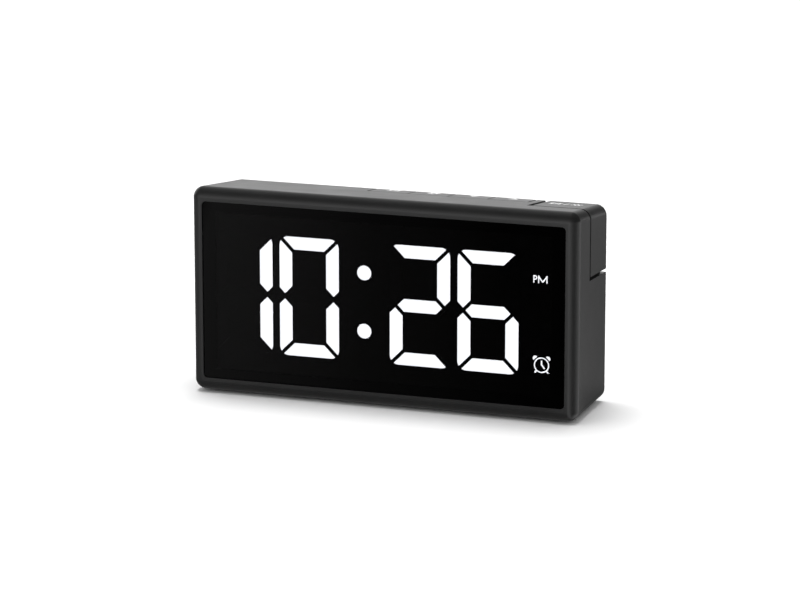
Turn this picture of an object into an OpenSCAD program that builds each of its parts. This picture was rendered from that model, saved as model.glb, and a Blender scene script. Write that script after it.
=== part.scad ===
// Digital alarm clock: a wedge-shaped case with a smoked window over four lit digits, four flush buttons
// along the rear of the top and a corner key on the right. Millimetres. The front faces -Y, the feet stand
// on Z = 0 and the origin lies under the middle of the case.

/* [Case] */
// Width across the front
case_w = 149.6; // [148:0.1:170]
// Height at the front edge, without the feet
case_h = 76.9; // [74:0.1:90]
// Depth from the front face to the rear face
case_d = 38.8; // [38:0.1:60]
// Radius of the rounded outer edges
edge_r = 4.2; // [3.5:0.1:4.4]
// Thickness of the case walls
wall = 2; // [1.6:0.1:2.4]
// Lean of each side towards the rear, in degrees
side_draft = 1.7; // [0:0.1:2.5]
// Fall of the top towards the rear, in degrees
top_slope = 6.2; // [3:0.1:7]
// Thickness of the rear cover
cover_t = 2.2; // [2:0.1:3]
// Gap between parts that are put together
fit_gap = 0.2; // [0.1:0.05:0.3]

/* [Feet] */
// Diameter of a foot
foot_d = 9; // [6:0.5:12]
// Height of a foot below the case
foot_h = 0.8; // [0.5:0.1:2]
// Depth of the pocket that holds a foot
foot_sink = 0.8; // [0.4:0.1:1]
// Distance of the feet from the sides of the case
foot_in_x = 13; // [10:0.5:20]
// Distance of the front feet from the front
foot_in_front = 12; // [8:0.5:13]
// Distance of the rear feet from the rear
foot_in_rear = 8; // [7:0.5:12]

/* [Window] */
// Width of the frame beside the window
frame_w = 4.5; // [4.5:0.1:4.8]
// Width of the frame above and below the window
frame_h = 5; // [4.5:0.1:6]
// Corner radius of the window
lens_r = 1.6; // [1:0.1:3]
// How far the window lies behind the front face
lens_sink = 0.6; // [0.3:0.1:1]
// Thickness of the window
lens_t = 1.6; // [1:0.1:2]
// Thickness of the sticky frame behind the window
tape_t = 0.2; // [0.1:0.05:0.4]
// Width of the ledge that the window is stuck to
ledge_w = 2.2; // [1.5:0.1:2.3]
// Thickness of that ledge
ledge_t = 1.4; // [1:0.1:2]

/* [Digits] */
// The four numerals shown
time_shown = [1, 0, 2, 6];
// Height of a digit
digit_h = 44.7; // [40:0.1:48]
// Width of a digit in a window of layout_w
digit_w = 23.2; // [20:0.1:23.8]
// Width of an upright segment
segment_w = 4.9; // [4:0.05:6]
// Width of a level segment
bar_w = 4.7; // [4:0.05:6]
// Gap between two segments
segment_gap = 1.5; // [0.8:0.05:1.6]
// Radius of a digit's outer corners
digit_r = 3.4; // [2:0.1:4]
// Distance from the outer edge to where the middle gaps cross
cross_in = 2.05; // [1.8:0.05:2.6]
// Distance between the two digits of a pair
digit_pitch = 26.1; // [25:0.1:26.5]
// Distance between the hours pair and the minutes pair
pair_pitch = 69.2; // [66:0.1:70]
// How far the digits lie left of the middle
digits_left = 7.1; // [6:0.1:7.4]
// How far the digits lie below the middle
digits_down = 0.2; // [0:0.1:1]
// Radius of a colon dot
dot_r = 2.7; // [2:0.05:3.5]
// Distance between the colon dots
dot_pitch = 21.8; // [16:0.1:26]

/* [Indicators] */
// Distance of the PM letters from the right side of the case
pm_in = 14.5; // [14:0.1:15.8]
// Height of the PM letters' middle above the window's middle
pm_up = 13.4; // [8:0.1:18]
// Height of the PM letters
pm_h = 2.7; // [2.5:0.1:4]
// Distance of the alarm sign from the right side of the case
alarm_in = 13.8; // [13.6:0.1:15.8]
// Distance of the alarm sign below the window's middle
alarm_down = 18.2; // [12:0.1:20]
// Radius of the alarm sign's ring
alarm_r = 2.85; // [2.5:0.05:3.4]
// Width of the lines of the signs
sign_line = 0.34; // [0.3:0.02:0.6]

/* [Light box] */
// Depth of the light box behind the front wall
box_t = 5.5; // [4.5:0.1:8]
// Gap round a light guide in its well
guide_gap = 0.06; // [0.04:0.01:0.1]
// Thickness of the circuit boards
board_t = 1.6; // [1.2:0.1:2]
// Height of a light chip
chip_h = 0.7; // [0.5:0.05:1]
// Thickness of the indicator marks
mark_t = 0.6; // [0.4:0.1:0.8]
// Thickness of the light box's skin behind the indicator marks
skin_t = 0.5; // [0.4:0.1:0.8]

/* [Top buttons] */
// Distance between two buttons
button_pitch = 15.55; // [13:0.05:15.8]
// Distance of the row's middle from the right side of the case
button_row_x = 59.1; // [58.8:0.1:64.8]
// Depth of a button from the rear edge
button_d = 10.3; // [9.6:0.1:11]
// Thickness of a button at the rear edge
button_t = 2.3; // [2.1:0.1:3]
// Travel of a button
button_travel = 0.5; // [0.3:0.05:0.6]
// Seam round the buttons
seam = 0.4; // [0.25:0.05:0.5]

/* [Corner key] */
// Reach of the key from the right side along the top
key_w = 22.7; // [20:0.1:23]
// Reach of the key from the top down the side
key_h = 26.4; // [20:0.1:28]
// Reach of the key from the rear edge forwards
key_d = 21.4; // [19:0.1:24]
// Open gap in front of the key and under it
key_gap = 1.2; // [0.9:0.1:1.4]
// Width of the slot at the left of the key
key_slot = 1.8; // [1.2:0.1:1.9]
// Travel of the key
key_travel = 0.8; // [0.5:0.05:1]

/* [Switches] */
// Width of a switch body
switch_w = 6; // [5:0.1:6.2]
// Height of a switch body
switch_h = 3.5; // [3:0.1:5]
// Diameter of a switch plunger
plunger_d = 3.4; // [2.5:0.1:3.6]
// Height of a plunger above the switch body
plunger_h = 1.7; // [1.4:0.1:2.5]
// Length of the pressing stem under a button
stem_h = 1.5; // [1:0.1:2.5]

/* [Screws] */
// Diameter of the cover screws
cover_screw_d = 2.5; // [2:0.1:2.8]
// Length of the cover screws below the head
cover_screw_l = 10; // [8:0.5:14]
// Diameter of the board screws
board_screw_d = 1.9; // [1.5:0.1:2.1]
// Length of the board screws below the head
board_screw_l = 5; // [4:0.5:5.5]

/* [Backup cell] */
// Diameter of the coin cell
cell_d = 20; // [16:0.1:20]
// Thickness of the coin cell
cell_t = 3.2; // [2:0.1:3.6]
// Diameter of the battery door
door_d = 25; // [24:0.1:27]
// Thickness of the battery door
door_t = 1.6; // [1.4:0.1:1.8]
// Distance of the door's middle from the left side of the case, seen from the front
door_left = 34.8; // [30.8:0.1:36.8]
// Height of the door's middle above the base of the case
door_up = 44; // [42:0.5:48]

/* [Power inlet] */
// Width of the socket shell
socket_w = 8.9; // [8:0.1:10]
// Height of the socket shell
socket_h = 3.3; // [3:0.1:3.8]
// Length of the socket shell
socket_l = 7.4; // [6:0.1:9]
// Distance of the socket's middle from the left side of the case, seen from the front
socket_left = 18.8; // [16.8:0.1:20.8]
// Height of the power board's underside above the base of the case
power_board_up = 8; // [6:0.5:10]

/* [Hidden] */

// A length larger than the whole clock, for cuts that run right through
far = 300;
// Overlap that keeps a cut clear of the face it opens
over = 1;
// How far an edge cylinder stands proud of the faces that it joins
proud = 0.02;
// How much larger a corner's ball is than the edges that run into it, so that they cross cleanly
corner_proud = 0.06;

front = -case_d / 2;
rear = case_d / 2;
base = foot_h;
lens_z = base + case_h / 2;

// Depths are measured from the front face towards the rear
lens_back = lens_sink + lens_t;
seat_depth = lens_back + tape_t;
front_wall = seat_depth + ledge_t;
face_depth = lens_back + fit_gap / 2;
board_depth = front_wall + box_t;
board_back = board_depth + board_t;
cover_depth = case_d - cover_t;

function y_at(depth) = front + depth;
function half_w(y, inset) = case_w / 2 - (y - front - edge_r) * tan(side_draft) - inset / cos(side_draft);
function top_z(y, inset) = base + case_h - (y - front - edge_r) * tan(top_slope) - inset / cos(top_slope);
function low_z(inset) = base + inset;

// Window, ledge and light box outlines
lens_open_w = case_w - 2 * frame_w;
lens_open_h = case_h - 2 * frame_h;
window_w = lens_open_w - 2 * ledge_w;
window_h = lens_open_h - 2 * ledge_w;
face_w = window_w - 2 * fit_gap;
face_h = window_h - 2 * fit_gap;
box_h = lens_open_h;

// Main board and the posts that hold it
main_board_w = 2 * (half_w(y_at(board_back), wall) - 3 * fit_gap);
main_board_h = box_h;
board_head_d = 3.6;
board_head_h = 1.3;
board_post_r = 2.3;
board_post_x = half_w(y_at(board_back + board_head_h), wall) - board_head_d / 2 - fit_gap;
board_post_up = 13;
post_rib_t = 1.8;
screw_gap = 0.05;

// Cover posts run along the sides, behind the main board
cover_post_r = 2.6;
cover_head_d = 4.2;
cover_head_h = 1.2;
cover_hole_gap = 0.2;
cover_head_in = 1;
cover_post_start = board_back + 3;
cover_post_x = half_w(rear, wall) - fit_gap - cover_head_in - cover_hole_gap - cover_head_d / 2;
cover_post_in_low = 8;
cover_post_in_high = 10;
cover_post_under_key = 11;
cover_post_low = base + cover_post_in_low;
cover_post_high = base + case_h - cover_post_in_high;
cover_post_right = base + case_h - key_h - key_gap - cover_post_under_key;
cover_posts = [
  [-cover_post_x, cover_post_low], [cover_post_x, cover_post_low],
  [-cover_post_x, cover_post_high], [cover_post_x, cover_post_right],
];
post_notch = cover_post_r + 0.5;

// Digits: their widths and places are drawn for a window of layout_w, and spread with the real window
layout_w = 136.2;
spread = window_w / layout_w;
shown_digit_w = digit_w * spread;
colon_x = -digits_left * spread;
pm_place = [case_w / 2 - pm_in, lens_z + pm_up];
alarm_place = [case_w / 2 - alarm_in, lens_z - alarm_down];
half_digit_w = shown_digit_w / 2;
half_digit_h = digit_h / 2;
mitre = segment_gap / sqrt(2);
letters = ["a", "b", "c", "d", "e", "f", "g"];
numeral_letters = [
  "abcdef", "bc", "abdeg", "abcdg", "bcfg", "acdfg", "acdefg", "abc", "abcdefg", "abcdfg",
];
digit_x = [
  for (pair = [-1, 1], place = [-1, 1]) colon_x + spread * (pair * pair_pitch + place * digit_pitch) / 2
];
digit_z = lens_z - digits_down;
guide_depth = board_depth - chip_h - fit_gap;
mark_well_r = alarm_r + 1.6;
pm_w = 1.95 * pm_h;
hand_line = 1.4 * sign_line;

// Buttons, key and the board under them
button_front = rear - button_d;
button_low = top_z(rear, 0) - button_t;
row_x = case_w / 2 - button_row_x;
row_left = row_x - 2 * button_pitch;
row_right = row_x + 2 * button_pitch;
plunger_top = button_low - stem_h;
switch_top = plunger_top - plunger_h;
key_board_top = switch_top - switch_h;
key_board_low = key_board_top - board_t;
board_clear = 0.6;
key_board_rear = y_at(cover_depth) - board_clear;
switch_y = key_board_rear - switch_w / 2 - fit_gap;
plunger_in = 1;
plunger_gap = 0.08;
leg_w = 3;
leg_t = 1.2;
leg_out = switch_w / 2 + leg_w / 2 + 0.7;
leg_y = button_front + 2.2;
hook = 0.8;
hook_h = 1.4;
slot_gap = 0.3;

key_left = case_w / 2 - key_w;
key_front = rear - key_d;
key_fall = top_slope / 2;
key_flange_t = 0.8;
key_flange_reach = 1;
key_flange_rear = y_at(cover_depth) - fit_gap;
key_shell = wall + fit_gap + key_flange_t;
key_stem_in = 10;
key_stem_x = key_left + key_stem_in;
key_stem_r = 2.5;
key_leg_x = [key_stem_x - leg_out - 0.6, key_stem_x + leg_out];
key_lip_t = 1.6;
key_lip_low = top_z(rear, edge_r) - 0.7;

key_board_left = row_left - 2;
key_board_right = half_w(rear, wall) - 2;
key_board_front = button_front - 6;
key_post_r = 2.5;
key_post_y = button_front - 3;
key_post_in = 3;
key_post_x = [row_left + key_post_in, row_x, row_right - key_post_in];

// Battery well in the rear cover
door_x = door_left - case_w / 2;
door_z = base + door_up;
door_gap = 0.1;
door_depth = case_d - door_t;
lug_t = 1;
lug_reach = 1.3;
lug_angle = 36;
lug_gap = 0.25;
lug_slack = 4;
door_turn = 45;
well_rim = door_depth - door_gap;
well_floor = well_rim - cell_t - fit_gap;
well_floor_t = 1.2;
well_r = cell_d / 2 + 0.3;
lug_depth = well_rim - lug_t - lug_gap;
ring_in = 0.6;
ring_t = 0.6;
ring_r = door_d / 2 - ring_in - ring_t;
boss_r = door_d / 2 + lug_reach + 1.6;
door_slot_w = 2;
door_slot_d = 0.8;
door_slot_l = door_d * 0.6;

// Spring contacts of the cell: one meets its front face, one its rim
contact_w = 4;
contact_t = 0.4;
contact_offset = 4;
contact_dimple_d = 3.6;
contact_top = 3;
face_contact_depth = well_floor - well_floor_t - fit_gap / 2;
rim_contact_depth = well_floor + (cell_t - contact_t) / 2;
rim_contact_top = door_z - sqrt(pow(cell_d / 2, 2) - pow(contact_offset - contact_w / 2, 2)) - fit_gap;

// Power board, lying flat at the bottom left, and the buzzer on it
buzzer_d = 12;
buzzer_h = 8.5;
buzzer_hole_d = 2.6;
buzzer_hole_h = 1.5;
buzzer_in = 2;
buzzer_x = door_x + contact_offset + (contact_w + buzzer_d) / 2;
sound_slot_l = buzzer_d * 0.8;
sound_slot_w = 1.2;
sound_slot_up = 3;
power_z = base + power_board_up;
power_top = power_z + board_t;
power_rim = 3.5;
power_post_in = 4;
socket_x = socket_left - case_w / 2;
socket_z = power_top + socket_h / 2;
power_left = socket_x - socket_w / 2 - power_rim;
power_right = buzzer_x + buzzer_d / 2 + 2 * power_post_in;
power_front = y_at(board_back) + 4.5;
power_rear = y_at(cover_depth) - board_clear;
power_post_r = 2.4;
power_post_y = power_front + power_post_in;
power_posts = [[power_left + power_post_in, power_post_y], [power_right - power_post_in, power_post_y]];
buzzer_y = power_rear - buzzer_d / 2 - buzzer_in;

// Inlet socket: a thin shell with a contact tongue
socket_mouth = case_d - fit_gap;
socket_back = socket_mouth - socket_l;
socket_shell_t = 0.3;
socket_floor_t = 1.2;
tongue_w = socket_w * 0.74;
tongue_t = 0.7;
tongue_in = 1.2;

// Flat cables and their sockets
ribbon_w = 9;
ribbon_t = 0.5;
ribbon_bend = 3;
ribbon_in = 2.5;
ribbon_socket_w = ribbon_w + 3;
ribbon_socket_t = 2.6;
ribbon_socket_h = 3;
key_ribbon_left = 9;
key_ribbon_drop = 11;
power_ribbon_left = 3;
power_ribbon_rise = 9;
key_ribbon_x = row_x - key_ribbon_left;
key_ribbon_y = key_board_front + ribbon_in;
key_ribbon_z = key_board_low - key_ribbon_drop;
power_ribbon_x = door_x - power_ribbon_left;
power_ribbon_y = power_front + ribbon_in;
power_ribbon_z = power_top + power_ribbon_rise;

// What is soldered to the main board, placed from the window's middle
led_chip = [2, 1.25];
chip_t = 1.5;
chip_lift = 0.1;
chip_leg_out = 1.2;
chip_leg_share = 0.45;
controller_size = [12.8, 7.5];
controller_legs = 10;
controller_gap = 1.1;
controller_right = 3.3;
controller_drop = (ribbon_socket_t + controller_size.y) / 2 + controller_gap + chip_leg_out;
controller_place = [key_ribbon_x + controller_right, key_ribbon_z + ribbon_t / 2 - controller_drop - lens_z];
driver_places = [[-28, -12], [40, -12]];
driver_size = [9.9, 3.9];
driver_legs = 8;
crystal_right = 14;
crystal_place = controller_place + [crystal_right, 0];
crystal_size = [10.2, 4.6];
crystal_t = 3.5;
capacitor_places = [[-6, -16], [2, -16]];
capacitor_d = 6.3;
capacitor_h = 7.5;

// Tools that turn flat outlines into solids

// A solid from a front view, X across and Z up, between two depths
module from_front(depth0, depth1) {
  translate([0, y_at(depth1), 0]) rotate([90, 0, 0]) linear_extrude(depth1 - depth0) children();
}

// A solid from a side view, Y across and Z up, between two X places
module from_side(x0, x1) {
  translate([x0, 0, 0]) rotate([90, 0, 90]) linear_extrude(x1 - x0) children();
}

// A box between two corners
module block(low, high) {
  translate(low) cube(high - low);
}

// A flat rounded rectangle about the origin
module rounded(w, h, r) {
  square([w - 2 * r, h], center = true);
  square([w, h - 2 * r], center = true);
  for (x = [-1, 1], y = [-1, 1])
    translate([x * (w / 2 - r), y * (h / 2 - r)]) circle(r, $fn = 48);
}

// A straight line of a given width, lengthened and widened by grow
module line(p, q, width, grow) {
  translate(p)
    rotate(atan2(q.y - p.y, q.x - p.x))
      translate([-grow, -width / 2 - grow])
        square([norm(q - p) + 2 * grow, width + 2 * grow]);
}

// Turns a solid that stands along Z so that it runs from p to q
module along(p, q) {
  v = q - p;
  translate(p) rotate([0, acos(v.z / norm(v)), atan2(v.y, v.x)]) children();
}

// The leftover outside one rounded edge that runs from front to rear
module edge_cut(side, up, inset, y0, y1) {
  r = edge_r - inset;
  a = r - proud;
  function axis(y) = [side * (half_w(y, inset) - a), y, up > 0 ? top_z(y, inset) - a : low_z(inset) + a];
  start = axis(y0 - over);
  end = axis(y1 + over);
  along(start, end)
    linear_extrude(norm(end - start))
      difference() {
        translate([up > 0 ? -2 * edge_r : 0, side > 0 ? -2 * edge_r : 0]) square(2 * edge_r);
        circle(r, $fn = 64);
      }
}

// The tapered sleeve of the case, drawn in by inset on all four sides, between two Y places
module sleeve(inset, y0, y1) {
  difference() {
    intersection() {
      linear_extrude(far)
        polygon([
          [-half_w(y0, inset), y0], [half_w(y0, inset), y0],
          [half_w(y1, inset), y1], [-half_w(y1, inset), y1],
        ]);
      from_side(-far / 2, far / 2)
        polygon([[y0, low_z(inset)], [y1, low_z(inset)], [y1, top_z(y1, inset)], [y0, top_z(y0, inset)]]);
    }
    for (side = [-1, 1], up = [-1, 1]) edge_cut(side, up, inset, y0, y1);
  }
}

// The leftover outside one rounded front edge, upright at the sides or level above and below
module front_cut() {
  for (side = [-1, 1])
    translate([side * (half_w(front + edge_r, 0) - edge_r + proud), front + edge_r - proud, 0])
      linear_extrude(far)
        difference() {
          translate([side > 0 ? 0 : -2 * edge_r, -2 * edge_r]) square(2 * edge_r);
          circle(edge_r, $fn = 64);
        }
  function edge_z(up) = (up > 0 ? top_z(front + edge_r, edge_r) : low_z(edge_r)) + up * proud;
  for (up = [-1, 1])
    from_side(-far / 2, far / 2)
      translate([front + edge_r - proud, edge_z(up)])
        difference() {
          translate([-2 * edge_r, up > 0 ? 0 : -2 * edge_r]) square(2 * edge_r);
          circle(edge_r, $fn = 64);
        }
}

// The leftover outside one rounded front corner
module corner_cut(side, up) {
  a = edge_r - proud;
  y = front + a;
  translate([side * (half_w(y, 0) - a), y, up > 0 ? top_z(y, 0) - a : low_z(a)])
    difference() {
      translate([side > 0 ? 0 : -2 * edge_r, -2 * edge_r, up > 0 ? 0 : -2 * edge_r]) cube(2 * edge_r);
      sphere(edge_r + corner_proud, $fn = 64);
    }
}

// A pan-head screw along Z: the head stands on Z = 0 and the shank hangs below
module screw(d, length, head_d, head_h) {
  cross = head_d / 6;
  difference() {
    union() {
      cylinder(h = head_h, d = head_d, $fn = 48);
      translate([0, 0, -length]) cylinder(h = length, d = d, $fn = 32);
    }
    for (turn = [0, 90])
      rotate(turn) translate([-head_d / 3, -cross / 2, head_h / 2]) cube([head_d * 2 / 3, cross, head_h]);
  }
}

// Lays a screw along Y with its head towards the rear, the head's underside at a depth
module rear_screw(x, depth, z) {
  translate([x, y_at(depth), z]) rotate([-90, 0, 0]) children();
}

// Digits

// One digit's outer outline
module digit_outline(grow) {
  rounded(shown_digit_w + 2 * grow, digit_h + 2 * grow, digit_r + grow);
}

// The top segment, with mitred ends
module bar_segment(grow) {
  z_out = half_digit_h + grow;
  z_in = half_digit_h - bar_w - grow;
  reach = half_digit_w - half_digit_h - mitre + grow * sqrt(2);
  intersection() {
    digit_outline(grow);
    polygon([[-z_out - reach, z_out], [z_out + reach, z_out], [z_in + reach, z_in], [-z_in - reach, z_in]]);
  }
}

// The upper right segment, mitred at the top and pointed at the middle
module leg_segment(grow) {
  x_out = half_digit_w + grow;
  x_in = half_digit_w - segment_w - grow;
  tip_x = half_digit_w - cross_in;
  tip_z = mitre - grow * sqrt(2);
  rise = half_digit_h - half_digit_w - tip_z;
  intersection() {
    digit_outline(grow);
    polygon([
      [x_in, tip_z + tip_x - x_in], [tip_x, tip_z], [x_out, tip_z + x_out - tip_x],
      [x_out, x_out + rise], [x_in, x_in + rise],
    ]);
  }
}

// The middle segment, pointed at both ends
module middle_segment(grow) {
  half_t = bar_w / 2 + grow;
  tip = half_digit_w - cross_in - mitre + grow * sqrt(2);
  polygon([
    [-tip, 0], [half_t - tip, half_t], [tip - half_t, half_t],
    [tip, 0], [tip - half_t, -half_t], [half_t - tip, -half_t],
  ]);
}

// One of the seven segments, lettered clockwise from the top with g in the middle
module segment(letter, grow) {
  if (letter == "a") bar_segment(grow);
  if (letter == "b") leg_segment(grow);
  if (letter == "c") mirror([0, 1]) leg_segment(grow);
  if (letter == "d") mirror([0, 1]) bar_segment(grow);
  if (letter == "e") rotate(180) leg_segment(grow);
  if (letter == "f") mirror([1, 0]) leg_segment(grow);
  if (letter == "g") middle_segment(grow);
}

function is_lit(place, letter) = len(search(letter, numeral_letters[time_shown[place]])) > 0;

// All segments that are lit, or all that are not, in front view
module segments(lit, grow) {
  for (place = [0:3], letter = letters)
    if (is_lit(place, letter) == lit)
      translate([digit_x[place], digit_z]) segment(letter, grow);
}

// The two colon dots in front view
module dots(grow) {
  for (side = [-1, 1])
    translate([colon_x, digit_z + side * dot_pitch / 2]) circle(dot_r + grow, $fn = 48);
}

// The letters P and M in front view, about their own middle
module pm_letters(grow) {
  s = sign_line;
  bowl_r = pm_h * 0.29;
  bowl_x = s + bowl_r * 0.4;
  m_left = bowl_x + bowl_r + 1.1 * s;
  m_right = pm_w - s / 2;
  m_middle = (m_left + s / 2 + m_right) / 2;
  translate([-pm_w / 2, -pm_h / 2]) {
    line([s / 2, 0], [s / 2, pm_h], s, grow);
    line([s / 2, pm_h - s / 2], [bowl_x, pm_h - s / 2], s, grow);
    line([s / 2, pm_h - 2 * bowl_r + s / 2], [bowl_x, pm_h - 2 * bowl_r + s / 2], s, grow);
    intersection() {
      translate([bowl_x, pm_h - bowl_r])
        difference() {
          circle(bowl_r + grow, $fn = 48);
          circle(bowl_r - s - grow, $fn = 48);
        }
      translate([bowl_x - grow / 2, 0]) square(pm_h * 2);
    }
    line([m_left + s / 2, 0], [m_left + s / 2, pm_h], s, grow);
    line([m_right, 0], [m_right, pm_h], s, grow);
    line([m_left + s / 2, pm_h - s / 2], [m_middle, s], s, grow);
    line([m_right, pm_h - s / 2], [m_middle, s], s, grow);
  }
}

// The alarm-clock sign in front view, about the middle of its ring: ring, hands, feet and bells
module alarm_sign(grow) {
  s = sign_line;
  difference() {
    circle(alarm_r + grow, $fn = 64);
    circle(alarm_r - s - grow, $fn = 64);
  }
  line([0, 0], [0, alarm_r * 0.58], hand_line, grow);
  line([0, hand_line / 2], [alarm_r * 0.4, -alarm_r * 0.44], hand_line, grow);
  for (side = [-1, 1]) {
    rotate(side * 42) line([0, s / 2 - alarm_r], [0, -alarm_r * 1.33], hand_line, grow);
    rotate(side * 44)
      translate([0, alarm_r * 1.2])
        intersection() {
          circle(alarm_r * 0.32 + grow, $fn = 48);
          translate([-alarm_r, -grow]) square(2 * alarm_r);
        }
  }
}

// Where the light chips sit behind one segment
function chip_spots(letter) =
  let (leg_x = half_digit_w - segment_w / 2, bar_z = half_digit_h - bar_w / 2, leg_z = half_digit_h / 2)
  let (side = letter == "e" || letter == "f" ? -1 : 1)
  let (up = letter == "c" || letter == "d" || letter == "e" ? -1 : 1)
  letter == "a" || letter == "d" ? [for (s = [-1, 1]) [s * shown_digit_w / 6, up * bar_z]] :
  letter == "g" ? [for (s = [-1, 1]) [s * shown_digit_w / 6, 0]] :
  [for (s = [-1, 1]) [side * leg_x, up * (leg_z + s * digit_h / 11)]];

// Case

module housing() {
  color("#2c2c2e")
    difference() {
      union() {
        difference() {
          sleeve(0, front, rear);
          front_cut();
          for (side = [-1, 1], up = [-1, 1]) corner_cut(side, up);
          sleeve(wall, y_at(front_wall), rear + over);
        }
        intersection() {
          sleeve(wall / 2, y_at(seat_depth), rear);
          housing_posts();
        }
      }
      from_front(-over, seat_depth) translate([0, lens_z]) rounded(lens_open_w, lens_open_h, lens_r);
      from_front(0, front_wall + over) translate([0, lens_z]) square([window_w, window_h], center = true);
      key_room(key_gap, rear + over, key_slot);
      block([row_left - seam, button_front - seam, button_low - over], [row_right + seam, rear + over, far]);
      for (p = cover_posts)
        rear_screw(p.x, cover_depth + over, p[1])
          translate([0, 0, -cover_screw_l - over])
            cylinder(h = cover_screw_l + over, d = cover_screw_d + 2 * screw_gap, $fn = 32);
      for (side = [-1, 1], up = [-1, 1])
        rear_screw(side * board_post_x, board_depth + over, lens_z + up * board_post_up)
          translate([0, 0, -board_screw_l - over])
            cylinder(h = board_screw_l + over, d = board_screw_d + 2 * screw_gap, $fn = 32);
      for (x = key_post_x)
        translate([x, key_post_y, key_board_top - over])
          cylinder(h = board_screw_l + over, d = board_screw_d + 2 * screw_gap, $fn = 32);
      for (p = power_posts)
        translate([p.x, p.y, power_z - board_screw_l])
          cylinder(h = board_screw_l + over, d = board_screw_d + 2 * screw_gap, $fn = 32);
      for (p = foot_places())
        translate([p.x, p.y, base - over]) cylinder(h = foot_sink + over, d = foot_d + fit_gap, $fn = 64);
    }
}

// A screw post with a rib out to the side wall, in front view
module wall_post(p, r) {
  translate(p) circle(r, $fn = 48);
  translate([p.x < 0 ? p.x - far : p.x, p.y - post_rib_t / 2]) square([far, post_rib_t]);
}

// The screw posts moulded inside the housing
module housing_posts() {
  for (p = cover_posts)
    from_front(cover_post_start, cover_depth) wall_post(p, cover_post_r);
  for (side = [-1, 1], up = [-1, 1])
    from_front(seat_depth, board_depth)
      wall_post([side * board_post_x, lens_z + up * board_post_up], board_post_r);
  for (x = key_post_x)
    translate([x, key_post_y, key_board_top]) cylinder(h = far, r = key_post_r, $fn = 48);
  for (p = power_posts)
    translate([p.x, p.y, base]) cylinder(h = power_board_up, r = power_post_r, $fn = 48);
}

function foot_places() =
  [for (x = [-1, 1], y = [front + foot_in_front, rear - foot_in_rear]) [x * (case_w / 2 - foot_in_x), y]];

module feet() {
  color("#1b1b1c")
    for (p = foot_places())
      translate([p.x, p.y, 0]) cylinder(h = foot_h + foot_sink, d = foot_d, $fn = 64);
}

module rear_cover() {
  color("#29292b")
    difference() {
      union() {
        sleeve(wall + fit_gap, y_at(cover_depth), rear);
        from_front(well_floor - well_floor_t, cover_depth + over / 2)
          translate([door_x, door_z]) circle(boss_r, $fn = 96);
      }
      block(
        [row_left - 2 * seam, y_at(cover_depth) - over, button_low - button_travel - fit_gap * 2],
        [key_left, rear + over, far]);
      block(
        [key_left - key_slot, y_at(cover_depth) - over, key_lip_low - key_travel - fit_gap * 2],
        [far, rear + over, far]);
      for (p = cover_posts) {
        rear_screw(p.x, cover_depth - over, p[1])
          cylinder(h = cover_t + 2 * over, d = cover_screw_d + 2 * cover_hole_gap, $fn = 32);
        rear_screw(p.x, case_d - cover_head_h - fit_gap, p[1])
          cylinder(h = cover_head_h + over, d = cover_head_d + 2 * cover_hole_gap, $fn = 48);
      }
      battery_well();
      from_front(cover_depth - over, case_d + over)
        translate([socket_x, socket_z])
          rounded(socket_w + 2 * fit_gap, socket_h + 2 * fit_gap, socket_h / 2);
      sound_slots();
    }
}

// The cuts that hold the coin cell, its contacts and the turning door
module battery_well() {
  from_front(well_floor, well_rim + over / 2) translate([door_x, door_z]) circle(well_r, $fn = 96);
  from_front(well_rim, case_d + over) translate([door_x, door_z]) circle(door_d / 2 + door_gap, $fn = 96);
  from_front(lug_depth - lug_gap, well_rim)
    translate([door_x, door_z])
      difference() {
        circle(door_d / 2 + lug_reach + lug_gap, $fn = 96);
        circle(ring_r - lug_gap, $fn = 96);
      }
  from_front(well_rim - lug_gap, case_d + over)
    translate([door_x, door_z])
      rotate(-door_turn)
        lugs(door_d / 2 + lug_reach + lug_gap, lug_angle + lug_slack);
  from_front(well_floor - well_floor_t - over, well_floor + over / 2)
    translate([door_x + contact_offset, door_z]) circle(contact_dimple_d / 2 + fit_gap, $fn = 48);
  from_front(rim_contact_depth - slot_gap, rim_contact_depth + contact_t + slot_gap)
    translate([door_x - contact_offset - contact_w / 2 - slot_gap, door_z - boss_r - over])
      square([contact_w + 2 * slot_gap, boss_r + over]);
}

// Two opposite lugs of a bayonet ring in front view, cut from a full disc
module lugs(r, angle) {
  along_x = 2 * r * cos(angle / 2);
  across = 2 * r * sin(angle / 2);
  intersection() {
    circle(r, $fn = 96);
    for (turn = [0, 180]) rotate(turn) polygon([[0, 0], [along_x, -across], [along_x, across]]);
  }
}

// Slots that let the buzzer sound out
module sound_slots() {
  middle = power_top + buzzer_h / 2 + sound_slot_up;
  for (i = [-2:2])
    from_front(cover_depth - over, case_d + over)
      translate([buzzer_x, middle + i * 2 * sound_slot_w])
        rounded(sound_slot_l, sound_slot_w, sound_slot_w * 0.45);
}

module battery_door() {
  color("#29292b")
    difference() {
      union() {
        from_front(door_depth, case_d) translate([door_x, door_z]) circle(door_d / 2, $fn = 96);
        from_front(lug_depth, door_depth)
          translate([door_x, door_z])
            difference() {
              circle(door_d / 2 - ring_in, $fn = 96);
              circle(ring_r, $fn = 96);
            }
        from_front(lug_depth, lug_depth + lug_t)
          translate([door_x, door_z])
            difference() {
              lugs(door_d / 2 + lug_reach, lug_angle);
              circle(ring_r, $fn = 96);
            }
      }
      from_front(case_d - door_slot_d, case_d + over)
        translate([door_x, door_z]) rounded(door_slot_l, door_slot_w, door_slot_w * 0.45);
    }
}

module cover_screws() {
  color("#8a8c90")
    for (p = cover_posts)
      rear_screw(p.x, case_d - cover_head_h - fit_gap, p[1])
        screw(cover_screw_d, cover_screw_l - cover_t, cover_head_d, cover_head_h);
}

// Window and display

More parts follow.
